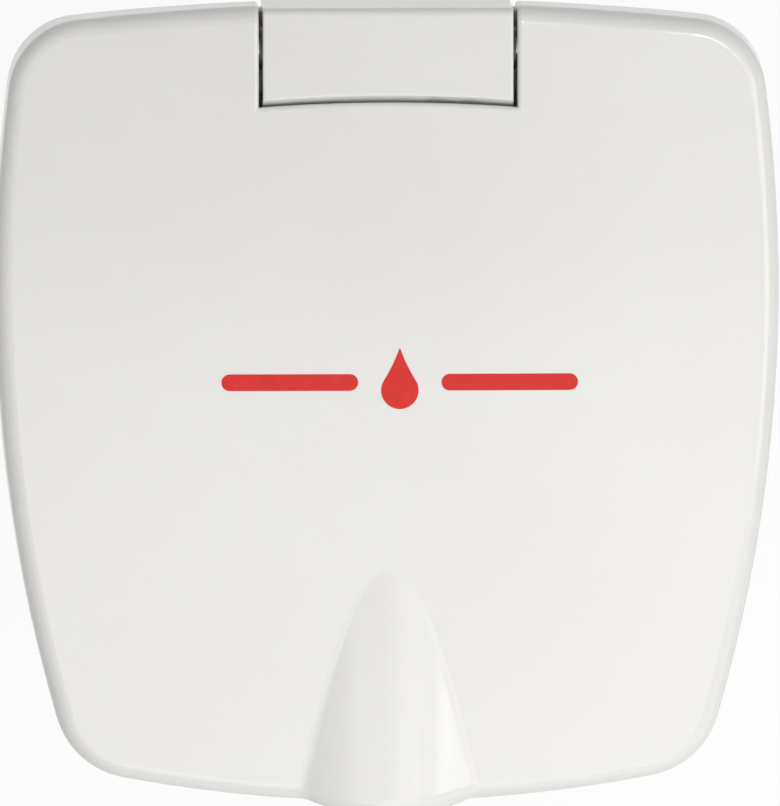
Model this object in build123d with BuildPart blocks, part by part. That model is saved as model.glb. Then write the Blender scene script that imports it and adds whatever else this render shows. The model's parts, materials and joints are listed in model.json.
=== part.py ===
from build123d import *
import os
from math import cos, radians, sin, sqrt, tan

# Recessed deck box for a fuel shut-off: a hinged lid over a cup that holds a pull control.
# Frame: origin on the cup's axis at the deck surface, +Z out of the deck, +Y towards the hinge.

# ------------------------------------------------------------------ sizes, mm
# Lid, seen from above: four wide arcs that meet at rounded corners
lid_width = 117.4
lid_length = 120.5
lid_side_radius = 234.0
lid_back_radius = 420.0
lid_front_radius = 213.0
lid_widest_from_back = 43.5
back_corner_radius = 11.0
front_corner_radius = 12.0
corner_softening = 1.6  # how much rounder the corners are at the top than at the foot
# Lid, seen from the side
lid_height = 10.8  # from the flange to the lid's top at its back edge
lid_foot_gap = 0.4
lid_wall = 2.2
lid_draft = 2.0  # degrees
lid_edge_round = 2.6
crown_radius = 1600.0
# Finger nose: a tilted cylinder that rises out of the lid towards its front edge
nose_radius = 30.0
nose_tilt = 3.4  # degrees
nose_length = 37.5
nose_reach = 2.0  # past the lid's front edge
nose_half_width = 12.3  # where its front meets the lid's front edge
nose_edge_round = 2.6
nose_blend = 4.0
finger_opening_width = 20.0
finger_lip = 4.4  # how much of the nose's front stays above the finger opening
# Hinge
hinge_from_back = 7.3
hinge_height = 6.4  # the axis above the flange
hinge_gap = 0.6
block_width = 37.3
block_front_middle = 8.2  # distance from the axis to the block's front
block_front_end = 8.8
block_back = 6.9  # distance from the axis to the block's back, at its foot
block_draft = 3.0  # degrees
block_edge_round = 0.35
block_back_round = 1.2
block_wall = 2.5
notch_edge_round = 0.6
tail_radius = 7.9  # the lid behind the axis stays inside this radius as it swings
tail_lip = 2.0
swing_clearance = 0.3
hinge_pin_radius = 1.5
hinge_pin_grip = 7.2  # how far each pin reaches into its bush
bush_outer_radius = 2.6
bush_flange_radius = 3.1
bush_flange_thickness = 0.45
bush_length = 8.0
running_clearance = 0.05
ear_radius = 4.2
ear_thickness = 4.5
# Frame, gasket and cup
gasket_thickness = 1.2
flange_thickness = 3.0
flange_inset = 1.2  # inside the lid's foot
flange_edge_round = 0.8
gasket_inset = 0.5  # inside the flange
gasket_hole_gap = 1.2  # round the spigot and the screws
room_behind_cup = 27.3  # the hinge's share of the lid's length
room_before_cup = 13.2  # the catch's share
cup_wall = 2.0
cup_depth = 54.0
cup_floor = 2.5
cup_draft = 2.0  # degrees
cup_floor_round = 5.0
spigot_wall = 2.4
spigot_length = 10.0
cup_lip_width = 3.6
cup_lip_thickness = 1.6
fit_clearance = 0.15
rim_width = 4.4
rim_height = 6.0
seal_cord = 2.4
seal_proud = 0.8
seal_gap = 0.15
press_ring_width = 1.6
# Deck screws
screw_from_side = 7.836  # from the lid's side beside the front screws
screw_radius = 2.1
screw_neck_radius = 1.9  # plain neck between the head and the deck
screw_hole_radius = 2.3
screw_head_radius = 4.0
screw_length = 24.0
screw_recess_width = 0.9
screw_recess_length = 4.4
screw_recess_depth = 1.6
# Snap catch on each side of the nose
catch_x = 25.0
catch_width = 8.0
catch_from_front = 7.0
catch_thickness = 1.8
catch_height = 7.0
catch_bead = 0.6
catch_gap = 0.15
# Drain tail
drain_from_wall = 14.0
drain_radius = 5.0
drain_bore_radius = 3.2
drain_length = 16.0
# Pull control
travel = 28.0
rod_radius = 3.0
rod_guided_end = 10.5  # length still guided when the rod is pulled right out
rod_chamfer = 0.4
gland_washer_radius = 11.5
gland_washer_thickness = 1.0
gland_flange_radius = 11.0
gland_flange_thickness = 3.0
gland_neck_radius = 8.0
gland_neck_height = 8.0
gland_shank_radius = 7.0
gland_shank_length = 16.0
gland_tube_radius = 6.0
gland_tube_bore = 3.6
gland_lip = 0.8
guide_bush_radius = 4.5
guide_bush_length = 13.5
o_ring_cord = 1.4
flat_washer_radius = 13.0
flat_washer_thickness = 1.2
lock_nut_across_flats = 22.0
lock_nut_thickness = 7.0
guide_screw_radius = 1.5
guide_screw_rise = 2.6  # above the gland's flange
guide_point_radius = 0.9
keyway_width = 2.0
keyway_depth = 1.0
conduit_socket_radius = 8.0
conduit_bore_radius = 2.6
conduit_bore_length = 8.0
conduit_thread_length = 6.0
conduit_web = 2.0
conduit_screw_radius = 2.0
wire_hole_radius = 1.2
wire_bore_radius = 1.0
wire_bore_length = 10.0
wire_screw_radius = 1.25
grub_screw_sink = 0.4  # below the surface that each grub screw goes in from
hex_key_share = 0.55  # size of a grub screw's key socket against the screw
handle_lift = 1.0  # from the gland's top to the handle's stem
handle_length = 52.0
handle_waist_radius = 4.9
handle_end_radius = 6.3
handle_end_round = 4.5
handle_foot_radius = 6.2
handle_neck_radius = 4.4
handle_stem_height = 17.0
handle_blend = 2.0
rod_in_handle = 14.0
roll_pin_radius = 1.25
roll_pin_wall = 0.5
roll_pin_slot = 0.6

# ------------------------------------------------------ heights and places
flange_top = gasket_thickness + flange_thickness
lid_foot = flange_top + lid_foot_gap
lid_back_top = flange_top + lid_height
cup_radius = (lid_length - room_behind_cup - room_before_cup) / 2
back_y = cup_radius + room_behind_cup
front_y = back_y - lid_length
widest_y = back_y - lid_widest_from_back
crown_y = (back_y + front_y) / 2
crown_rise = lid_length**2 / (8 * crown_radius)
crown_centre_z = lid_back_top + crown_rise - crown_radius
blank_top = lid_back_top + crown_rise + 2
hinge_y = back_y - hinge_from_back
hinge_z = flange_top + hinge_height
hinge_line = Axis((0, hinge_y, hinge_z), (1, 0, 0))
notch_width = block_width + 2 * hinge_gap
ear_outer_x = notch_width / 2 + ear_thickness
bush_hole_end = block_width / 2 - bush_length
draft_slope = tan(radians(lid_draft))
cut = 2.0  # how far a cutting solid runs past what it cuts
deep = 40.0  # more than the height of anything above the deck

rim_radius = cup_radius + rim_width
rim_top = flange_top + rim_height
seal_radius = cup_radius + rim_width / 2
seal_seat = rim_top - seal_cord + seal_proud
press_ring_foot = rim_top + seal_proud + seal_gap
spigot_radius = cup_radius + spigot_wall
cup_lip_radius = spigot_radius + cup_lip_width
cup_lip_top = gasket_thickness + cup_lip_thickness
screw_spacing_y = 2 * cup_radius
screw_from_widest = widest_y + cup_radius
side_at_screws = sqrt(lid_side_radius**2 - screw_from_widest**2) - lid_side_radius + lid_width / 2
screw_spacing_x = 2 * (side_at_screws - screw_from_side)
catch_y = front_y + catch_from_front
catch_bead_z = flange_top + catch_height - 2 * catch_bead
tongue_y = catch_y - catch_thickness / 2 - 2 * catch_bead - catch_gap
tongue_foot = catch_bead_z - 4 * catch_bead - catch_gap

cup_floor_z = -cup_depth
drain_y = drain_from_wall - cup_radius
gland_seat_z = cup_floor_z + gland_washer_thickness
gland_neck_z = gland_seat_z + gland_flange_thickness
gland_top = gland_neck_z + gland_neck_height
cup_under_z = cup_floor_z - cup_floor
nut_top = cup_under_z - flat_washer_thickness
o_ring_room = o_ring_cord + 2 * running_clearance
guide_bush_top = gland_top - gland_lip - o_ring_room
guide_bush_end = guide_bush_top - guide_bush_length
guide_screw_z = gland_neck_z + guide_screw_rise
rod_end = guide_bush_top - rod_guided_end - travel
shank_end = cup_under_z - gland_shank_length
tube_end = rod_end - conduit_web
socket_end = tube_end - conduit_web - conduit_bore_length
handle_foot = gland_top + handle_lift
handle_axis_z = handle_foot + handle_stem_height
rod_top = handle_foot + rod_in_handle
roll_pin_z = handle_foot + rod_in_handle / 2


def crown_height(y):
    """Height of the lid's crowned top on its centreline."""
    return crown_centre_z + sqrt(crown_radius**2 - (y - crown_y) ** 2)


def outline(inset=0.0, softening=0.0):
    """The lid's plan, drawn in by inset: four wide discs meet, and their corners are rounded."""
    side_x = lid_side_radius - lid_width / 2
    with BuildSketch() as plan:
        with Locations((side_x, widest_y)):
            Circle(lid_side_radius - inset)
        with Locations((-side_x, widest_y)):
            Circle(lid_side_radius - inset, mode=Mode.INTERSECT)
        with Locations((0, back_y - lid_back_radius)):
            Circle(lid_back_radius - inset, mode=Mode.INTERSECT)
        with Locations((0, front_y + lid_front_radius)):
            Circle(lid_front_radius - inset, mode=Mode.INTERSECT)
        fillet(plan.vertices().group_by(Axis.Y)[-1], back_corner_radius - inset + softening)
        fillet(plan.vertices().group_by(Axis.Y)[0], front_corner_radius - inset + softening)
    return plan.sketch


def nose_barrel(skin=0.0):
    """The tilted cylinder that gives the finger nose its back, drawn in by skin."""
    tip_y = front_y - nose_reach + nose_length
    tilt = radians(nose_tilt)
    tip = (0, tip_y, crown_height(tip_y) - nose_radius / cos(tilt))
    with BuildPart() as barrel:
        with BuildSketch(Plane(origin=tip, x_dir=(1, 0, 0), z_dir=(0, -cos(tilt), sin(tilt)))):
            Circle(nose_radius - skin)
        extrude(amount=2 * nose_length, both=True)
    return barrel.part


def nose_blank(skin=0.0):
    """The finger nose, drawn in by skin: the tilted cylinder inside a drafted round front."""
    edge_y = front_y + lid_front_radius - sqrt(lid_front_radius**2 - nose_half_width**2)
    sagitta = edge_y - (front_y - nose_reach)
    front_radius = (nose_half_width**2 + sagitta**2) / (2 * sagitta)
    low = lid_foot - (cut if skin else 0)
    high = blank_top + deep / 4
    with BuildPart() as nose:
        with Locations((0, front_y - nose_reach + front_radius, (low + high) / 2)):
            Cone(
                front_radius - skin - (low - lid_foot) * draft_slope,
                front_radius - skin - (high - lid_foot) * draft_slope,
                high - low,
            )
        add(nose_barrel(skin), mode=Mode.INTERSECT)
        if not skin:
            front_edges = nose.edges().filter_by(lambda e: e.center().Y < front_y + nose_reach * 3)
            upper = front_edges.filter_by(lambda e: e.center().Z > lid_foot + cut)
            fillet(upper, nose_edge_round)
    return nose.part


def lid_blank(skin=0.0):
    """The lid's form, drawn in by skin: drafted walls under a crowned top, and the nose."""
    low = lid_foot - (cut if skin else 0)
    with BuildPart() as blank:
        with BuildSketch(Plane.XY.offset(low)):
            add(outline(skin + (low - lid_foot) * draft_slope))
        with BuildSketch(Plane.XY.offset(blank_top)):
            add(outline(skin + (blank_top - lid_foot) * draft_slope, corner_softening))
        loft(ruled=True)
        with Locations((0, crown_y, crown_centre_z)):
            Sphere(crown_radius - skin, rotation=(0, 90, 0), mode=Mode.INTERSECT)
        if not skin:
            fillet(blank.faces().sort_by(Axis.Z)[-1].edges(), lid_edge_round)
        add(nose_blank(skin))
        if not skin:
            fillet(blank.edges(Select.NEW), nose_blend)
    return blank.part


def swing_room(skin=0.0):
    """All that lies before the hinge axis, and a cylinder about it for the tail of the lid."""
    with BuildPart() as room:
        with BuildSketch(Plane.YZ):
            with Locations((hinge_y, hinge_z)):
                Circle(tail_radius - skin)
            with Locations((hinge_y + (tail_lip if skin else 0), hinge_z)):
                Rectangle(2 * lid_length, 2 * deep, align=(Align.MAX, Align.CENTER))
        extrude(amount=lid_width, both=True)
    return room.part


def hinge_barrel(growth=0.0):
    """A bowed barrel about the hinge axis: the block's front, or the room round it when grown."""
    half = block_width / 2 + growth
    with BuildPart() as barrel:
        with BuildSketch(Plane.XY.offset(hinge_z)):
            with BuildLine():
                front = ThreePointArc(
                    (-half, hinge_y - block_front_end - growth),
                    (0, hinge_y - block_front_middle - growth),
                    (half, hinge_y - block_front_end - growth),
                )
                Polyline(front @ 0, (-half, hinge_y), (half, hinge_y), front @ 1)
            make_face()
        revolve(axis=hinge_line)
    return barrel.part


def hinge_block():
    """The fixed block that the lid's notch goes round, under the same crown as the lid."""
    height = blank_top - gasket_thickness
    with BuildPart() as block:
        add(hinge_barrel())
        split(bisect_by=Plane.XZ.offset(-hinge_y), keep=Keep.TOP)
        with BuildSketch(Plane.YZ):
            with BuildLine():
                Polyline(
                    (hinge_y, gasket_thickness),
                    (hinge_y + block_back, gasket_thickness),
                    (hinge_y + block_back - height * tan(radians(block_draft)), blank_top),
                    (hinge_y, blank_top),
                    close=True,
                )
            make_face()
        extrude(amount=block_width / 2, both=True)
        with Locations((0, crown_y, crown_centre_z)):
            Sphere(crown_radius, rotation=(0, 90, 0), mode=Mode.INTERSECT)
        fillet(block.faces().sort_by(Axis.Z)[-1].edges().sort_by(Axis.Y)[-1], block_back_round)
        fillet(block.faces().sort_by(Axis.Z)[-1].edges().sort_by(Axis.Y)[:-1], block_edge_round)
    return block.part


def keyed_grub_screw(radius, length, point_radius=0.0, point_length=0.0):
    """A grub screw along -Z from a key socket at the origin, with a plain point if one is given."""
    with BuildPart() as screw:
        with Locations((0, 0, -length / 2)):
            Cylinder(radius, length)
        chamfer(screw.edges().filter_by(GeomType.CIRCLE), radius / 6)
        if point_length:
            with Locations((0, 0, -length - point_length / 2)):
                Cylinder(point_radius, point_length)
        with BuildSketch(Plane.XY):
            RegularPolygon(radius * hex_key_share, 6)
        extrude(amount=-length / 2, mode=Mode.SUBTRACT)
    return screw.part


# ------------------------------------------------------------------ base frame
with BuildPart() as base_frame:
    with BuildSketch(Plane.XY.offset(gasket_thickness)):
        add(outline(flange_inset))
    extrude(amount=flange_thickness)
    fillet(base_frame.faces().sort_by(Axis.Z)[-1].edges(), flange_edge_round)
    # trough that the lid's tail swings through
    with Locations((0, hinge_y, hinge_z)):
        Cylinder(
            tail_radius + swing_clearance, 2 * lid_width, rotation=(0, 90, 0), mode=Mode.SUBTRACT
        )
    add(hinge_block())
    # room under the block, with a web in the middle
    with BuildSketch(Plane.XY.offset(gasket_thickness)):
        with Locations((0, hinge_y)):
            with GridLocations(bush_hole_end + block_wall / 2, 0, 2, 1):
                Rectangle(bush_hole_end - block_wall * 3 / 2, 2 * block_back - 2 * block_wall)
    extrude(amount=hinge_z + block_wall - gasket_thickness, mode=Mode.SUBTRACT)
    for side in (-1, 1):
        with Locations((side * (block_width - bush_length) / 2, hinge_y, hinge_z)):
            Cylinder(bush_outer_radius, bush_length, rotation=(0, 90, 0), mode=Mode.SUBTRACT)
    # rim with the groove for the seal
    with BuildSketch(Plane.XY.offset(gasket_thickness)):
        Circle(rim_radius)
    extrude(amount=rim_top - gasket_thickness)
    with BuildSketch(Plane.XY.offset(seal_seat)):
        Circle(seal_radius + seal_cord / 2)
        Circle(seal_radius - seal_cord / 2, mode=Mode.SUBTRACT)
    extrude(amount=seal_cord, mode=Mode.SUBTRACT)
    with BuildSketch(Plane.XY.offset(gasket_thickness)):
        Circle(cup_radius)
    extrude(amount=deep, mode=Mode.SUBTRACT)
    # rebate for the lip of the cup
    with BuildSketch(Plane.XY.offset(gasket_thickness)):
        Circle(cup_lip_radius + fit_clearance)
    extrude(amount=cup_lip_thickness, mode=Mode.SUBTRACT)
    with Locations((0, 0, flange_top)):
        with GridLocations(screw_spacing_x, screw_spacing_y, 2, 2):
            CounterSinkHole(
                screw_hole_radius, screw_head_radius + fit_clearance, counter_sink_angle=90
            )
    # posts of the snap catch
    with Locations((0, catch_y, flange_top + catch_height / 2)):
        with GridLocations(2 * catch_x, 0, 2, 1):
            Box(catch_width, catch_thickness, catch_height)
    with Locations((0, catch_y - catch_thickness / 2, catch_bead_z)):
        with GridLocations(2 * catch_x, 0, 2, 1):
            Cylinder(catch_bead, catch_width, rotation=(0, 90, 0))

# ------------------------------------------------------------------ recess cup
with BuildPart() as recess_cup:
    taper = (cup_depth - spigot_length) * tan(radians(cup_draft))
    with BuildSketch(Plane.XZ):
        with BuildLine():
            Polyline(
                (0, cup_floor_z),
                (cup_radius - taper, cup_floor_z),
                (cup_radius, -spigot_length),
                (cup_radius, cup_lip_top),
                (cup_lip_radius, cup_lip_top),
                (cup_lip_radius, gasket_thickness),
                (spigot_radius, gasket_thickness),
                (spigot_radius, -spigot_length),
                (cup_radius + cup_wall, -spigot_length),
                (cup_radius + cup_wall - taper, cup_under_z),
                (0, cup_under_z),
                close=True,
            )
        make_face()
    revolve(axis=Axis.Z)
    floor_edges = recess_cup.edges().filter_by(GeomType.CIRCLE)
    fillet(floor_edges.filter_by_position(Axis.Z, cup_floor_z, cup_floor_z), cup_floor_round)
    foot_edges = recess_cup.edges().filter_by(GeomType.CIRCLE)
    foot_edges = foot_edges.filter_by_position(Axis.Z, cup_under_z, cup_under_z)
    fillet(foot_edges, cup_floor_round + cup_wall)
    with Locations((0, 0, cup_floor_z)):
        Hole(gland_shank_radius + fit_clearance)
    with BuildSketch(Plane.XY.offset(cup_under_z - drain_length)):
        with Locations((0, drain_y)):
            Circle(drain_radius)
    extrude(amount=drain_length + cup_floor)
    with BuildSketch(Plane.XY.offset(cup_under_z - drain_length)):
        with Locations((0, drain_y)):
            Circle(drain_bore_radius)
    extrude(amount=drain_length + cup_floor, mode=Mode.SUBTRACT)

# ------------------------------------------------------- gasket, seal and deck screws
with BuildPart() as deck_gasket:
    with BuildSketch():
        add(outline(flange_inset + gasket_inset))
        Circle(spigot_radius + gasket_hole_gap, mode=Mode.SUBTRACT)
        with GridLocations(screw_spacing_x, screw_spacing_y, 2, 2):
            Circle(screw_radius + gasket_hole_gap, mode=Mode.SUBTRACT)
    extrude(amount=gasket_thickness)

with BuildPart() as lid_seal:
    with Locations((0, 0, seal_seat + seal_cord / 2)):
        Torus(seal_radius, seal_cord / 2)

with BuildPart() as one_screw:
    cone_height = screw_head_radius - screw_neck_radius
    with BuildSketch(Plane.XZ):
        with BuildLine():
            Polyline(
                (0, flange_top),
                (screw_head_radius, flange_top),
                (screw_neck_radius, flange_top - cone_height),
                (screw_neck_radius, 0),
                (screw_radius, 0),
                (screw_radius, flange_top - screw_length + 2 * screw_radius),
                (0, flange_top - screw_length),
                close=True,
            )
        make_face()
    revolve(axis=Axis.Z)
    with BuildSketch(Plane.XY.offset(flange_top)):
        Rectangle(screw_recess_length, screw_recess_width)
        Rectangle(screw_recess_width, screw_recess_length)
    extrude(amount=-screw_recess_depth, taper=15, mode=Mode.SUBTRACT)

with BuildPart() as deck_screws:
    with GridLocations(screw_spacing_x, screw_spacing_y, 2, 2):
        add(one_screw.part)

# ------------------------------------------------------------------ hinge bushes and pins
hinge_bushes = {}
hinge_pins = {}
for name, side in (("left", -1), ("right", 1)):
    out = Plane(origin=(side * block_width / 2, hinge_y, hinge_z), z_dir=(side, 0, 0))
    with BuildPart() as bush:
        with BuildSketch(out.offset(-bush_length)):
            Circle(bush_outer_radius)
        extrude(amount=bush_length)
        with BuildSketch(out):
            Circle(bush_flange_radius)
        extrude(amount=bush_flange_thickness)
        with BuildSketch(out.offset(-bush_length)):
            Circle(hinge_pin_radius + running_clearance)
        extrude(amount=bush_length + bush_flange_thickness, mode=Mode.SUBTRACT)
    hinge_bushes[name] = bush.part
    with BuildPart() as pin:
        with BuildSketch(out.offset(-hinge_pin_grip)):
            Circle(hinge_pin_radius)
        extrude(amount=hinge_pin_grip + hinge_gap + ear_thickness)
        chamfer(pin.edges(), hinge_pin_radius / 5)
    hinge_pins[name] = pin.part

# ------------------------------------------------------------------ lid
with BuildPart() as lid_cavity:
    add(lid_blank(lid_wall))
    add(swing_room(lid_wall), mode=Mode.INTERSECT)
    add(hinge_barrel(hinge_gap + lid_wall), mode=Mode.SUBTRACT)

# ring that presses on the seal, and the tongues of the snap catch
with BuildPart() as lid_ribs:
    with BuildSketch(Plane.XY.offset(press_ring_foot)):
        Circle(seal_radius + press_ring_width / 2)
        Circle(seal_radius - press_ring_width / 2, mode=Mode.SUBTRACT)
    extrude(amount=deep)
    with BuildSketch(Plane.XY.offset(tongue_foot)):
        with Locations((0, tongue_y)):
            with GridLocations(2 * catch_x, 0, 2, 1):
                Rectangle(catch_width, catch_from_front, align=(Align.CENTER, Align.MAX))
    extrude(amount=deep)
    add(lid_blank(lid_wall / 2), mode=Mode.INTERSECT)
    with Locations((0, tongue_y, tongue_foot + 2 * catch_bead)):
        with GridLocations(2 * catch_x, 0, 2, 1):
            Cylinder(catch_bead, catch_width, rotation=(0, 90, 0))

with BuildPart() as finger_opening:
    with BuildSketch(Plane.XY.offset(lid_foot - cut)):
        with Locations((0, front_y)):
            Rectangle(finger_opening_width, 4 * (nose_reach + lid_wall))
    extrude(amount=deep)
    add(nose_barrel(finger_lip), mode=Mode.INTERSECT)

with BuildPart() as lid:
    add(lid_blank())
    add(swing_room(), mode=Mode.INTERSECT)
    add(hinge_barrel(hinge_gap), mode=Mode.SUBTRACT)
    notch = lid.edges().filter_by(lambda e: abs(e.center().X) < ear_outer_x)
    notch = notch.filter_by(lambda e: e.center().Y > hinge_y - 2 * tail_radius)
    tail_back = hinge_y + tail_radius / 2
    fillet(
        notch.filter_by(lambda e: e.center().Z > lid_back_top or e.center().Y > tail_back),
        notch_edge_round,
    )
    add(lid_cavity, mode=Mode.SUBTRACT)
    add(lid_ribs)
    add(finger_opening, mode=Mode.SUBTRACT)
    for side in (-1, 1):
        with Locations((side * (notch_width + ear_thickness) / 2, hinge_y, hinge_z)):
            Cylinder(ear_radius, ear_thickness, rotation=(0, 90, 0))
            Cylinder(hinge_pin_radius, ear_thickness, rotation=(0, 90, 0), mode=Mode.SUBTRACT)

# ------------------------------------------------------------------ pull control
with BuildPart() as control_gland:
    with BuildSketch(Plane.XZ):
        with BuildLine():
            Polyline(
                (rod_radius + fit_clearance, gland_top),
                (gland_neck_radius, gland_top),
                (gland_neck_radius, gland_neck_z),
                (gland_flange_radius, gland_neck_z),
                (gland_flange_radius, gland_seat_z),
                (gland_shank_radius, gland_seat_z),
                (gland_shank_radius, shank_end),
                (gland_tube_radius, shank_end),
                (gland_tube_radius, tube_end),
                (gland_tube_bore, tube_end),
                (gland_tube_bore, guide_bush_end),
                (guide_bush_radius, guide_bush_end),
                (guide_bush_radius, gland_top - gland_lip),
                (rod_radius + fit_clearance, gland_top - gland_lip),
                close=True,
            )
        make_face()
    revolve(axis=Axis.Z)
    top_edge = control_gland.edges().filter_by_position(Axis.Z, gland_top, gland_top)
    chamfer(top_edge.sort_by(SortBy.RADIUS)[-1], rod_chamfer)
    with Locations((0, -gland_neck_radius, guide_screw_z)):
        Cylinder(
            guide_screw_radius,
            2 * (gland_neck_radius - rod_radius),
            rotation=(90, 0, 0),
            mode=Mode.SUBTRACT,
        )

with BuildPart() as guide_bush:
    with BuildSketch(Plane.XY.offset(guide_bush_end)):
        Circle(guide_bush_radius)
        Circle(rod_radius + running_clearance, mode=Mode.SUBTRACT)
    extrude(amount=guide_bush_length)
    with Locations((0, -guide_bush_radius, guide_screw_z)):
        Cylinder(
            guide_point_radius + fit_clearance,
            2 * (guide_bush_radius - rod_radius + running_clearance),
            rotation=(90, 0, 0),
            mode=Mode.SUBTRACT,
        )

with BuildPart() as rod_o_ring:
    with Locations((0, 0, gland_top - gland_lip - o_ring_room / 2)):
        Torus(rod_radius + running_clearance + o_ring_cord / 2, o_ring_cord / 2)

with BuildPart() as guide_screw:
    mouth = gland_neck_radius - grub_screw_sink
    with Locations(Plane(origin=(0, -mouth, guide_screw_z), z_dir=(0, -1, 0))):
        add(
            keyed_grub_screw(
                guide_screw_radius,
                mouth - guide_bush_radius - fit_clearance,
                guide_point_radius,
                guide_bush_radius - rod_radius + keyway_depth,
            )
        )

with BuildPart() as gland_seal_washer:
    with BuildSketch(Plane.XY.offset(cup_floor_z)):
        Circle(gland_washer_radius)
        Circle(gland_shank_radius, mode=Mode.SUBTRACT)
    extrude(amount=gland_washer_thickness)

with BuildPart() as gland_flat_washer:
    with BuildSketch(Plane.XY.offset(nut_top)):
        Circle(flat_washer_radius)
        Circle(gland_shank_radius, mode=Mode.SUBTRACT)
    extrude(amount=flat_washer_thickness)

# the nut's corners are turned off at both ends
with BuildPart() as nut_turning:
    with Locations((0, 0, nut_top - lock_nut_thickness / 2)):
        Cylinder(lock_nut_across_flats / 2 / cos(radians(30)), lock_nut_thickness)
    nut_rims = nut_turning.edges().filter_by(GeomType.CIRCLE)
    chamfer(nut_rims, lock_nut_thickness / 10, lock_nut_thickness / 5)

with BuildPart() as gland_lock_nut:
    with BuildSketch(Plane.XY.offset(nut_top - lock_nut_thickness)):
        RegularPolygon(lock_nut_across_flats / 2, 6, major_radius=False)
        Circle(gland_shank_radius, mode=Mode.SUBTRACT)
    extrude(amount=lock_nut_thickness)
    add(nut_turning, mode=Mode.INTERSECT)

with BuildPart() as conduit_socket:
    with BuildSketch(Plane.XY.offset(socket_end)):
        Circle(conduit_socket_radius)
    extrude(amount=tube_end + conduit_thread_length - socket_end)
    chamfer(conduit_socket.edges(), rod_chamfer)
    with BuildSketch(Plane.XY.offset(tube_end)):
        Circle(gland_tube_radius)
    extrude(amount=conduit_thread_length, mode=Mode.SUBTRACT)
    with BuildSketch(Plane.XY.offset(socket_end)):
        Circle(conduit_bore_radius)
    extrude(amount=conduit_bore_length, mode=Mode.SUBTRACT)
    with BuildSketch(Plane.XY.offset(tube_end)):
        Circle(wire_hole_radius)
    extrude(amount=-conduit_web, mode=Mode.SUBTRACT)
    with Locations((0, -conduit_socket_radius, socket_end + conduit_bore_length / 2)):
        Cylinder(
            conduit_screw_radius, 2 * conduit_socket_radius, rotation=(90, 0, 0), mode=Mode.SUBTRACT
        )

with BuildPart() as conduit_clamp_screw:
    mouth = conduit_socket_radius - grub_screw_sink
    with Locations(
        Plane(origin=(0, -mouth, socket_end + conduit_bore_length / 2), z_dir=(0, -1, 0))
    ):
        add(keyed_grub_screw(conduit_screw_radius, mouth - conduit_bore_radius - fit_clearance))

with BuildPart() as pull_rod:
    with BuildSketch(Plane.XY.offset(rod_end)):
        Circle(rod_radius)
    extrude(amount=rod_top - rod_end)
    chamfer(pull_rod.edges(), rod_chamfer)
    keyway_length = travel + 2 * (guide_point_radius + fit_clearance)
    keyway_plane = Plane(
        origin=(0, -rod_radius, guide_screw_z - travel / 2), x_dir=(0, 0, 1), z_dir=(0, -1, 0)
    )
    with BuildSketch(keyway_plane):
        SlotOverall(keyway_length, keyway_width)
    extrude(amount=-keyway_depth, mode=Mode.SUBTRACT)
    with BuildSketch(Plane.XY.offset(rod_end)):
        Circle(wire_bore_radius)
    extrude(amount=wire_bore_length, mode=Mode.SUBTRACT)
    with Locations((rod_radius / 2, 0, rod_end + wire_bore_length / 2)):
        Cylinder(wire_screw_radius, rod_radius, rotation=(0, 90, 0), mode=Mode.SUBTRACT)
    with Locations((0, 0, roll_pin_z)):
        Cylinder(roll_pin_radius, 4 * rod_radius, rotation=(90, 0, 0), mode=Mode.SUBTRACT)

with BuildPart() as wire_clamp_screw:
    mouth = rod_radius - grub_screw_sink
    with Locations(Plane(origin=(mouth, 0, rod_end + wire_bore_length / 2), z_dir=(1, 0, 0))):
        add(keyed_grub_screw(wire_screw_radius, mouth - wire_bore_radius - fit_clearance))

with BuildPart() as pull_handle:
    half = handle_length / 2
    with BuildSketch(Plane.XZ) as bar_profile:
        with BuildLine():
            underside = Spline(
                (-half, handle_axis_z - handle_end_radius),
                (0, handle_axis_z - handle_waist_radius),
                (half, handle_axis_z - handle_end_radius),
            )
            Polyline(underside @ 0, (-half, handle_axis_z), (half, handle_axis_z), underside @ 1)
        make_face()
        fillet(bar_profile.vertices().group_by(Axis.Y)[0], handle_end_round)
    revolve(axis=Axis((0, 0, handle_axis_z), (1, 0, 0)))
    with Locations((0, 0, handle_foot + handle_stem_height / 2)):
        Cone(handle_foot_radius, handle_neck_radius, handle_stem_height)
    fillet(pull_handle.edges(Select.NEW), handle_blend)
    with BuildSketch(Plane.XY.offset(handle_foot)):
        Circle(rod_radius)
    extrude(amount=rod_in_handle, mode=Mode.SUBTRACT)
    with Locations((0, 0, roll_pin_z)):
        Cylinder(roll_pin_radius, 4 * handle_foot_radius, rotation=(90, 0, 0), mode=Mode.SUBTRACT)

with BuildPart() as handle_roll_pin:
    taper_at_pin = (handle_foot_radius - handle_neck_radius) * (roll_pin_z - handle_foot)
    stem_radius = handle_foot_radius - taper_at_pin / handle_stem_height
    with BuildSketch(Plane(origin=(0, 0, roll_pin_z), z_dir=(0, -1, 0), x_dir=(1, 0, 0))):
        Circle(roll_pin_radius)
        Circle(roll_pin_radius - roll_pin_wall, mode=Mode.SUBTRACT)
        with Locations((roll_pin_radius, 0)):
            Rectangle(2 * roll_pin_radius, roll_pin_slot, mode=Mode.SUBTRACT)
    extrude(amount=stem_radius - roll_pin_wall, both=True)

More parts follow.
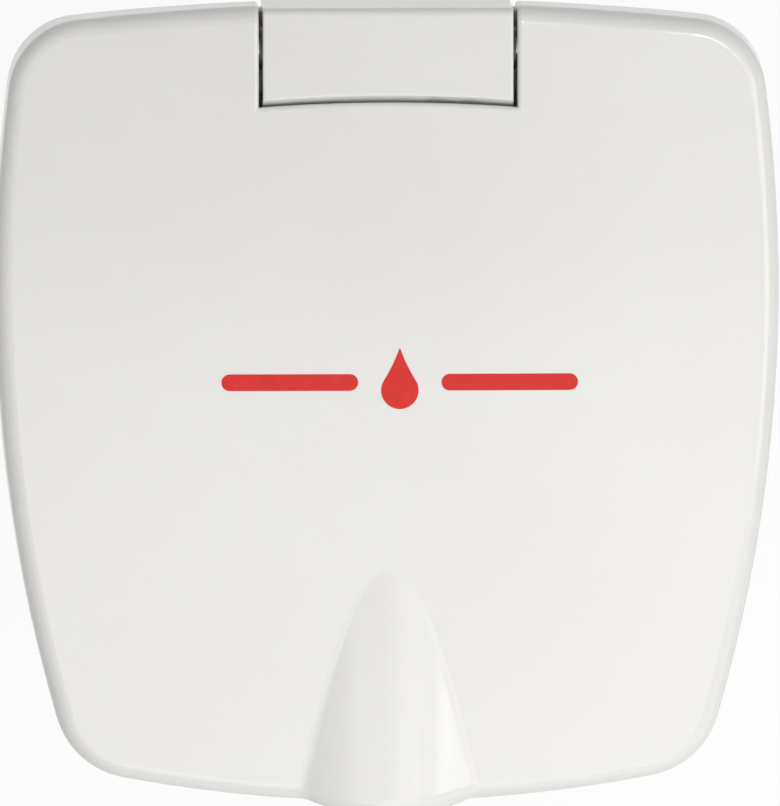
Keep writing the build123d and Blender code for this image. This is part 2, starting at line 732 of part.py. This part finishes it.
# ------------------------------------------------------------------ files
pieces = {
    "base_frame": base_frame.part,
    "recess_cup": recess_cup.part,
    "deck_gasket": deck_gasket.part,
    "deck_screws": deck_screws.part,
    "lid_seal": lid_seal.part,
    "hinge_bush_left": hinge_bushes["left"],
    "hinge_bush_right": hinge_bushes["right"],
    "hinge_pin_left": hinge_pins["left"],
    "hinge_pin_right": hinge_pins["right"],
    "lid": lid.part,
    "control_gland": control_gland.part,
    "gland_seal_washer": gland_seal_washer.part,
    "gland_flat_washer": gland_flat_washer.part,
    "gland_lock_nut": gland_lock_nut.part,
    "guide_bush": guide_bush.part,
    "rod_o_ring": rod_o_ring.part,
    "guide_screw": guide_screw.part,
    "conduit_socket": conduit_socket.part,
    "conduit_clamp_screw": conduit_clamp_screw.part,
    "pull_rod": pull_rod.part,
    "wire_clamp_screw": wire_clamp_screw.part,
    "pull_handle": pull_handle.part,
    "handle_roll_pin": handle_roll_pin.part,
}
os.makedirs("parts", exist_ok=True)
for name, piece in pieces.items():
    piece.label = name
    export_step(piece, f"parts/{name}.step")
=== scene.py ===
import json
import math

import bmesh
import bpy
from mathutils import Matrix, Vector
from mathutils.bvhtree import BVHTree


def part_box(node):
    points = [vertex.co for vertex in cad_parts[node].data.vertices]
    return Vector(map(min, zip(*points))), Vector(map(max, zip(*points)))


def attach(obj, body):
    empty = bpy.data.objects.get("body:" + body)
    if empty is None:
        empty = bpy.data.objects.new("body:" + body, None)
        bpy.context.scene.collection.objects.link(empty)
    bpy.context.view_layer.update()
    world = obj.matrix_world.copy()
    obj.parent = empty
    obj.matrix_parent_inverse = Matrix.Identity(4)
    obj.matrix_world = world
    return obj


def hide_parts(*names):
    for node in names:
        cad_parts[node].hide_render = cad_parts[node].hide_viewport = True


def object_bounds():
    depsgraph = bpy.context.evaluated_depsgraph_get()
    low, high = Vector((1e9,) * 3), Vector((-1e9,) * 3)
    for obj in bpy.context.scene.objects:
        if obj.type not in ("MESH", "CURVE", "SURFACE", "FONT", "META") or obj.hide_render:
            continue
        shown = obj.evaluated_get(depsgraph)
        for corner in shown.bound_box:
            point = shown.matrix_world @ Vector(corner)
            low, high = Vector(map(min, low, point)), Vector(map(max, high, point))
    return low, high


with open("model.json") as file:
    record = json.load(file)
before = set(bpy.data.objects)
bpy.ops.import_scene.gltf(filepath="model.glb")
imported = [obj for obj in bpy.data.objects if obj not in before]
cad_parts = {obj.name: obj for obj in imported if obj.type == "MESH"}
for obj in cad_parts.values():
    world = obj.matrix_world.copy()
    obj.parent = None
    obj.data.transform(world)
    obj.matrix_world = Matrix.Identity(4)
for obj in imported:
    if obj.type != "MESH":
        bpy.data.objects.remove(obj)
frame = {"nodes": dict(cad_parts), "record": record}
cad_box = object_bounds()
scene = bpy.context.scene
scene.view_settings.view_transform = "Standard"

# ---------------------------------------------------------------- camera
TILT_Y, TILT_X = math.radians(6.0), math.radians(-1.85)  # towards the hinge, and to the left
DISTANCE = 1.8
VIEW_HEIGHT = 0.1209  # metres from the picture's foot to its top, at the lid
SENSOR = 36.0
AIM = Vector((0.0006, 0.0062, 0.0046))  # seen in the middle of the picture

lens = bpy.data.cameras.new("camera")
lens.sensor_width = SENSOR
lens.lens = SENSOR * DISTANCE / VIEW_HEIGHT
camera = bpy.data.objects.new("camera", lens)
back = Vector((math.tan(TILT_X), math.tan(TILT_Y), 1.0)).normalized()
right = Vector((0.0, 1.0, 0.0)).cross(back).normalized()
turn = Matrix((right, back.cross(right), back)).transposed()
camera.matrix_world = Matrix.Translation(AIM + DISTANCE * back) @ turn.to_4x4()
scene.collection.objects.link(camera)
scene.camera = camera

# ---------------------------------------------------------------- materials
WHITE = (1.0, 1.0, 1.0, 1.0)
FIRST_COLOR, SECOND_COLOR, MIXED_COLOR = 6, 7, 2  # a Mix node's colour sockets
MIDDLE, UPPER, PEAKS = (0.3, 0.7), (0.45, 0.75), (0.55, 0.8)  # spans of a noise's values
RINGS = (0.15, 0.15, 4.0)  # the density of a grain that runs round an upright axis


def larger(nodes, link, first, second):
    """The larger of two values."""
    node = nodes.new("ShaderNodeMath")
    node.operation = "MAXIMUM"
    link(first, node.inputs[0])
    link(second, node.inputs[1])
    return node.outputs["Value"]


class Shader:
    """A material with its nodes, in few words."""

    def __init__(self, name, color, roughness, metallic=0.0, ior=1.5):
        self.material = bpy.data.materials.new(name)
        self.material.use_nodes = True
        self.nodes = self.material.node_tree.nodes
        self.link = self.material.node_tree.links.new
        self.surface = self.nodes["Principled BSDF"].inputs
        self.surface["Base Color"].default_value = (*color, 1.0)
        self.surface["Roughness"].default_value = roughness
        self.surface["Metallic"].default_value = metallic
        self.surface["IOR"].default_value = ior

    def noise(self, scale, detail, rough=0.5, density=(1.0, 1.0, 1.0)):
        """Noise fixed to the piece; a density below 1 draws it out along that axis."""
        place = self.nodes.new("ShaderNodeTexCoord").outputs["Object"]
        mapping = self.nodes.new("ShaderNodeMapping")
        mapping.inputs["Scale"].default_value = density
        self.link(place, mapping.inputs["Vector"])
        node = self.nodes.new("ShaderNodeTexNoise")
        node.inputs["Scale"].default_value = scale
        node.inputs["Detail"].default_value = detail
        node.inputs["Roughness"].default_value = rough
        self.link(mapping.outputs["Vector"], node.inputs["Vector"])
        return node.outputs["Fac"]

    def remap(self, value, span, low, high):
        """From low to high while the value goes through the span."""
        node = self.nodes.new("ShaderNodeMapRange")
        node.inputs["From Min"].default_value, node.inputs["From Max"].default_value = span
        node.inputs["To Min"].default_value = low
        node.inputs["To Max"].default_value = high
        self.link(value, node.inputs["Value"])
        return node.outputs["Result"]

    def tint(self, value, span, first, second):
        """Colour the surface, from the first colour to the second."""
        node = self.nodes.new("ShaderNodeMix")
        node.data_type = "RGBA"
        self.link(self.remap(value, span, 0.0, 1.0), node.inputs["Factor"])
        node.inputs[FIRST_COLOR].default_value = (*first, 1.0)
        node.inputs[SECOND_COLOR].default_value = (*second, 1.0)
        self.link(node.outputs[MIXED_COLOR], self.surface["Base Color"])

    def dull(self, value, span, smooth, rough):
        """Set the roughness, from smooth to rough."""
        self.link(self.remap(value, span, smooth, rough), self.surface["Roughness"])

    def bump(self, height, depth):
        node = self.nodes.new("ShaderNodeBump")
        node.inputs["Distance"].default_value = depth
        node.inputs["Strength"].default_value = 1.0
        self.link(height, node.inputs["Height"])
        self.link(node.outputs["Normal"], self.surface["Normal"])


def moulded_plastic(name, color, shade, roughness):
    """Injection-moulded plastic: slight clouding, orange peel and faint rubbing marks."""
    made = Shader(name, color, roughness, ior=1.53)
    made.tint(made.noise(scale=38.0, detail=3.0), MIDDLE, color, shade)
    along = made.noise(scale=420.0, detail=4.0, rough=0.65, density=(1.0, 0.12, 1.0))
    across = made.noise(scale=380.0, detail=4.0, rough=0.65, density=(0.10, 1.0, 1.0))
    rubbed = larger(made.nodes, made.link, along, across)
    made.dull(rubbed, PEAKS, roughness, roughness + 0.10)
    made.bump(made.noise(scale=620.0, detail=1.5), depth=0.00001)
    return made.material


def metal(name, color, shade, roughness):
    """Turned or drawn metal, with its grain running round an upright axis."""
    made = Shader(name, color, roughness, metallic=1.0)
    made.tint(made.noise(scale=60.0, detail=3.0), MIDDLE, color, shade)
    grain = made.noise(scale=900.0, detail=3.0, rough=0.6, density=RINGS)
    made.dull(grain, MIDDLE, roughness * 0.75, roughness * 1.3)
    made.bump(grain, depth=0.000004)
    return made.material


def rubber(name, color, roughness):
    """Rubber with a fine grain and a bloom of dust."""
    made = Shader(name, color, roughness)
    dusty = tuple(c * 1.9 + 0.008 for c in color)
    made.tint(made.noise(scale=150.0, detail=4.0), UPPER, color, dusty)
    grain = made.noise(scale=1500.0, detail=2.0)
    made.dull(grain, MIDDLE, roughness - 0.08, roughness + 0.1)
    made.bump(grain, depth=0.00002)
    return made.material


def red_ink():
    """Printing ink, a little uneven."""
    made = Shader("red_ink", (0.70, 0.024, 0.018), 0.36, ior=1.3)
    made.tint(made.noise(scale=900.0, detail=3.0), MIDDLE, (0.72, 0.027, 0.019), (0.66, 0.021, 0.016))
    made.bump(made.noise(scale=2600.0, detail=2.0), depth=0.000006)
    return made.material


# each with its colour, the shade that clouds it, and its roughness
PLASTICS = {
    "white_abs": ((0.80, 0.79, 0.765), (0.785, 0.773, 0.745), 0.16),
    "cup_abs": ((0.74, 0.74, 0.72), (0.72, 0.72, 0.70), 0.32),
    "acetal": ((0.020, 0.020, 0.021), (0.028, 0.028, 0.029), 0.38),
    "red_plastic": ((0.52, 0.012, 0.010), (0.45, 0.010, 0.009), 0.22),
}
METALS = {
    "stainless": ((0.62, 0.61, 0.60), (0.57, 0.57, 0.56), 0.24),
    "plated_brass": ((0.66, 0.64, 0.60), (0.60, 0.58, 0.54), 0.16),
    "brass": ((0.60, 0.42, 0.16), (0.50, 0.34, 0.12), 0.26),
}
finishes = {name: moulded_plastic(name, *look) for name, look in PLASTICS.items()}
finishes.update({name: metal(name, *look) for name, look in METALS.items()})
finishes["black_rubber"] = rubber("black_rubber", (0.022, 0.022, 0.024), 0.62)

slot_of = {row["node"]: row["material_slot"] for row in frame["record"]["subparts"]}
for name, node in frame["nodes"].items():
    node.data.materials.clear()
    node.data.materials.append(finishes[slot_of[name]])


# ---------------------------------------------------------------- pieces that only the scene has
WELD = 1e-7  # points nearer than this are one


def add_piece(name, work, body, material):
    """A piece from its working mesh, riding on a body."""
    bmesh.ops.recalc_face_normals(work, faces=work.faces)
    mesh = bpy.data.meshes.new(name)
    work.to_mesh(mesh)
    work.free()
    mesh.materials.append(material)
    piece = bpy.data.objects.new(name, mesh)
    scene.collection.objects.link(piece)
    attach(piece, body)
    return piece


def working_mesh(node):
    """A copy of a CAD piece's mesh to work on."""
    work = bmesh.new()
    work.from_mesh(frame["nodes"][node].data)
    return work


def cut(work, spot, normal, **options):
    """Cut all faces along the plane through the spot."""
    parts = work.verts[:] + work.edges[:] + work.faces[:]
    bmesh.ops.bisect_plane(work, geom=parts, plane_co=spot, plane_no=normal, **options)


# ---------------------------------------------------------------- threads
ROWS = 8  # rings of points to each turn of a thread
TIP = 0.02  # how much of the radius is left at a point's end
# radii of the core and the crest, the pitch, the ridge's share of the pitch, and points to a ring
SCREW = {"core": 0.0015, "crest": 0.0021, "pitch": 0.0016, "share": 0.42, "sides": 24}
SHANK = {"core": 0.0070, "crest": 0.0073, "pitch": 0.0010, "share": 1.0, "sides": 48}
TUBE = {"core": 0.0060, "crest": 0.0063, "pitch": 0.0010, "share": 1.0, "sides": 48}


def level_ring(work, centre, z, radii):
    """A ring of points round the centre, evenly spaced, one at each radius."""
    ring = []
    for j, radius in enumerate(radii):
        angle = 2 * math.pi * j / len(radii)
        x = centre[0] + radius * math.cos(angle)
        y = centre[1] + radius * math.sin(angle)
        ring.append(work.verts.new((x, y, z)))
    return ring


def threaded(work, centre, top, foot, core, crest, pitch, share, sides, inner=0.0, point=0.0):
    """A thread down from top to foot, as a closed skin.

    With an inner radius it is a sleeve. Without one it is a solid rod, which may end in a point.
    """
    count = max(2, round((top - foot) / pitch * ROWS))
    rings = []
    for k in range(count + 1):
        z = top + (foot - top) * k / count
        run_out = 1.0 if point else (z - foot) / pitch
        fade = min(1.0, (top - z) / pitch, run_out)
        shrink = min(1.0, max(TIP, (z - foot) / point)) if point else 1.0
        radii = []
        for j in range(sides):
            phase = (z / pitch - j / sides) % 1.0
            ridge = max(0.0, 1.0 - abs(phase - 0.5) / (share / 2))
            radii.append((core + (crest - core) * ridge * fade) * shrink)
        rings.append(level_ring(work, centre, z, radii))
    if inner:
        rings += [level_ring(work, centre, z, [inner] * sides) for z in (foot, top)]
        rings.append(rings[0])
    else:
        work.faces.new(rings[0])
        work.faces.new(rings[-1][::-1])
    for upper, lower in zip(rings, rings[1:]):
        for j in range(sides):
            work.faces.new((upper[j - 1], lower[j - 1], lower[j], upper[j]))


# the deck screws: the heads from the CAD, and threads that reach up into them
HEAD_RADIUS = 0.004
HEAD_CUT, THREAD_TOP = 0.0002, 0.0003  # heights
SCREW_POINT = 0.004
work = working_mesh("deck_screws")
bmesh.ops.remove_doubles(work, verts=work.verts, dist=WELD)
cut(work, (0, 0, HEAD_CUT), (0, 0, 1), clear_inner=True)
bmesh.ops.holes_fill(work, edges=[e for e in work.edges if e.is_boundary])
low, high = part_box("deck_screws")
for x in (low.x + HEAD_RADIUS, high.x - HEAD_RADIUS):
    for y in (low.y + HEAD_RADIUS, high.y - HEAD_RADIUS):
        threaded(work, (x, y), THREAD_TOP, low.z, point=SCREW_POINT, **SCREW)
screws = add_piece("deck_screw_threads", work, "housing", finishes["stainless"])
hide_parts("deck_screws")

# the gland: its shank's thread below the lock nut, and its tube's thread above the conduit socket
IN_NUT, BELOW_NUT = 0.0004, 0.0040
ABOVE_SOCKET, IN_SOCKET = 0.0045, 0.0003
SHANK_INNER, TUBE_INNER = 0.0066, 0.0056
nut_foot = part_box("gland_lock_nut")[0].z
socket_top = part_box("conduit_socket")[1].z
work = bmesh.new()
threaded(work, (0, 0), nut_foot + IN_NUT, nut_foot - BELOW_NUT, inner=SHANK_INNER, **SHANK)
threaded(work, (0, 0), socket_top + ABOVE_SOCKET, socket_top - IN_SOCKET, inner=TUBE_INNER, **TUBE)
add_piece("gland_threads", work, "housing", finishes["plated_brass"])

# ---------------------------------------------------------------- marking on the lid
FILM = 0.00005  # the thickness of the print
FILM_LIFT = 0.15 * FILM  # its underside's height above the lid
FILM_STEP = 0.0012  # between the cuts that let it follow the lid's crown
ABOVE_LID = 0.1  # the height from which the lid's surface is looked up
END_STEPS, CIRCLE_STEPS, SIDE_STEPS = 10, 36, 10
MARK_X, MARK_Y, MARK_HALF = 0.0017, 0.0105, 0.0266  # the marking's middle, and half its length
BAR_HALF = 0.00125
BAR_START = 0.0062  # from the middle to a bar
DROP_RADIUS, DROP_HEIGHT = 0.0028, 0.0064  # the height is from the circle's middle to the tip
DROP_BELOW = 0.0012  # from the middle down to the circle's middle
DROP_BEND = 0.06 * DROP_RADIUS


def bar_outline(x0, x1, y, half):
    """A bar with round ends, anticlockwise."""
    points = []
    for centre, start in ((x1 - half, -90), (x0 + half, 90)):
        for k in range(END_STEPS + 1):
            angle = math.radians(start + 180 * k / END_STEPS)
            points.append((centre + half * math.cos(angle), y + half * math.sin(angle)))
    return points


def bent_side(start, end, bend):
    """The points between start and end, moved sideways by up to the bend."""
    points = []
    for k in range(1, SIDE_STEPS):
        t = k / SIDE_STEPS
        spot = start.lerp(end, t)
        points.append((spot.x + bend * math.sin(math.pi * t), spot.y))
    return points


def drop_outline(x, y, radius, height, bend):
    """A drop: a circle drawn up to a point by two tangents that bend inwards, anticlockwise."""
    reach = math.acos(radius / height)
    start = math.pi / 2 + reach
    points = []
    for k in range(CIRCLE_STEPS + 1):
        angle = start + (2 * math.pi - 2 * reach) * k / CIRCLE_STEPS
        points.append((x + radius * math.cos(angle), y + radius * math.sin(angle)))
    left, tip, right = Vector(points[0]), Vector((x, y + height)), Vector(points[-1])
    return points + bent_side(right, tip, -bend) + [tuple(tip)] + bent_side(tip, left, bend)


def printed(outlines, surface):
    """A thin film: each outline, filled and laid down on the surface below it."""
    work = bmesh.new()
    for outline in outlines:
        work.faces.new([work.verts.new((x, y, 0.0)) for x, y in outline])
    low = Vector([min(v.co[i] for v in work.verts) for i in range(3)])
    high = Vector([max(v.co[i] for v in work.verts) for i in range(3)])
    for axis in (0, 1):
        normal = Vector((axis == 0, axis == 1, 0))
        for k in range(1, int((high[axis] - low[axis]) / FILM_STEP) + 1):
            cut(work, low + normal * FILM_STEP * k, normal, dist=WELD)
    lifted = bmesh.ops.extrude_face_region(work, geom=work.faces[:])
    top = {v for v in lifted["geom"] if isinstance(v, bmesh.types.BMVert)}
    for v in work.verts:
        above = Vector((v.co.x, v.co.y, ABOVE_LID))
        hit = surface.ray_cast(above, Vector((0, 0, -1)))[0]
        v.co.z = hit.z + (FILM if v in top else FILM_LIFT)
    return work


marks = [
    bar_outline(MARK_X - MARK_HALF, MARK_X - BAR_START, MARK_Y, BAR_HALF),
    bar_outline(MARK_X + BAR_START, MARK_X + MARK_HALF, MARK_Y, BAR_HALF),
    drop_outline(MARK_X, MARK_Y - DROP_BELOW, DROP_RADIUS, DROP_HEIGHT, DROP_BEND),
]
lid_work = working_mesh("lid")
lid_surface = BVHTree.FromBMesh(lid_work)
lid_work.free()
add_piece("lid_marking", printed(marks, lid_surface), "lid", red_ink())


# ---------------------------------------------------------------- lamps
LIT_SPOT = Vector((0.0, 0.0, 0.01))


def lamp(name, distance, height, bearing, size, power):
    """A rectangular lamp that faces the lid; its height and bearing are in degrees."""
    data = bpy.data.lights.new(name, "AREA")
    data.shape = "RECTANGLE"
    data.size, data.size_y = size
    data.energy = power
    up, side = math.radians(height), math.radians(bearing)
    place = Vector((math.cos(up) * math.cos(side), math.cos(up) * math.sin(side), math.sin(up)))
    place *= distance
    light = bpy.data.objects.new(name, data)
    light.location = place
    light.rotation_euler = (LIT_SPOT - place).to_track_quat("-Z", "Y").to_euler()
    light.visible_camera = False
    scene.collection.objects.link(light)


lamp("key", distance=0.7, height=45, bearing=-50, size=(0.85, 0.85), power=1.6)
lamp("front", distance=0.55, height=68, bearing=-90, size=(0.4, 0.4), power=0.69)
lamp("top_right", distance=1.6, height=70, bearing=12, size=(0.9, 0.9), power=2.25)
lamp("right", distance=1.6, height=50, bearing=0, size=(0.6, 0.6), power=2.9)
lamp("left_high", distance=1.6, height=70, bearing=180, size=(0.6, 0.6), power=0.35)
lamp("corner_spark", distance=1.6, height=73, bearing=37, size=(0.3, 0.05), power=2.4)

# ---------------------------------------------------------------- surroundings
SKY_LIGHT = 0.335  # what the white surroundings give to matt surfaces
FLOOR_REACH = 9.0
FLOOR_GAP = 0.0003  # from the lowest piece down to the floor
FLOOR_GLOW = 0.92  # the glowing share of the floor as it is seen; the rest is matt and takes shadows
PAPER = (0.86, 0.86, 0.86)


def seen_directly(nodes, link):
    """1 for a ray that meets the surroundings from the camera, off a gloss or through a clear piece."""
    rays = nodes.new("ShaderNodeLightPath").outputs
    camera_or_gloss = larger(nodes, link, rays["Is Camera Ray"], rays["Is Glossy Ray"])
    return larger(nodes, link, camera_or_gloss, rays["Is Transmission Ray"])


def mixed(nodes, link, share, first, second):
    """A mix of two shaders: only the first at a share of 0, only the second at 1."""
    node = nodes.new("ShaderNodeMixShader")
    link(share, node.inputs["Fac"])
    link(first, node.inputs[1])
    link(second, node.inputs[2])
    return node.outputs["Shader"]


def surroundings():
    """White where it is seen, and a dimmer white light on matt surfaces."""
    world = bpy.data.worlds.new("world")
    world.use_nodes = True
    nodes, link = world.node_tree.nodes, world.node_tree.links.new
    sky = nodes["Background"]
    sky.inputs["Color"].default_value = WHITE
    sky.inputs["Strength"].default_value = SKY_LIGHT
    white = nodes.new("ShaderNodeBackground")
    white.inputs["Color"].default_value = WHITE
    direct = seen_directly(nodes, link)
    seen = mixed(nodes, link, direct, sky.outputs["Background"], white.outputs["Background"])
    link(seen, nodes["World Output"].inputs["Surface"])
    return world


def paper():
    """Pale paper that takes shadows, glows where it is seen and is clear from below."""
    made = Shader("paper", PAPER, 0.9)
    nodes, link = made.nodes, made.link
    glow = nodes.new("ShaderNodeEmission")
    glow.inputs["Strength"].default_value = 1.0
    share = nodes.new("ShaderNodeMath")
    share.operation = "MULTIPLY"
    share.inputs[1].default_value = FLOOR_GLOW
    link(seen_directly(nodes, link), share.inputs[0])
    matt = nodes["Principled BSDF"].outputs["BSDF"]
    above = mixed(nodes, link, share.outputs["Value"], matt, glow.outputs["Emission"])
    backside = nodes.new("ShaderNodeNewGeometry").outputs["Backfacing"]
    clear = nodes.new("ShaderNodeBsdfTransparent").outputs["BSDF"]
    link(mixed(nodes, link, backside, above, clear), nodes["Material Output"].inputs["Surface"])
    return made.material


scene.world = surroundings()
level = cad_box[0].z - FLOOR_GAP
corners = [(FLOOR_REACH * x, FLOOR_REACH * y, level) for x, y in ((-1, -1), (1, -1), (1, 1), (-1, 1))]
floor_mesh = bpy.data.meshes.new("floor")
floor_mesh.from_pydata(corners, [], [(0, 1, 2, 3)])
floor_mesh.materials.append(paper())
floor = bpy.data.objects.new("floor", floor_mesh)
scene.collection.objects.link(floor)
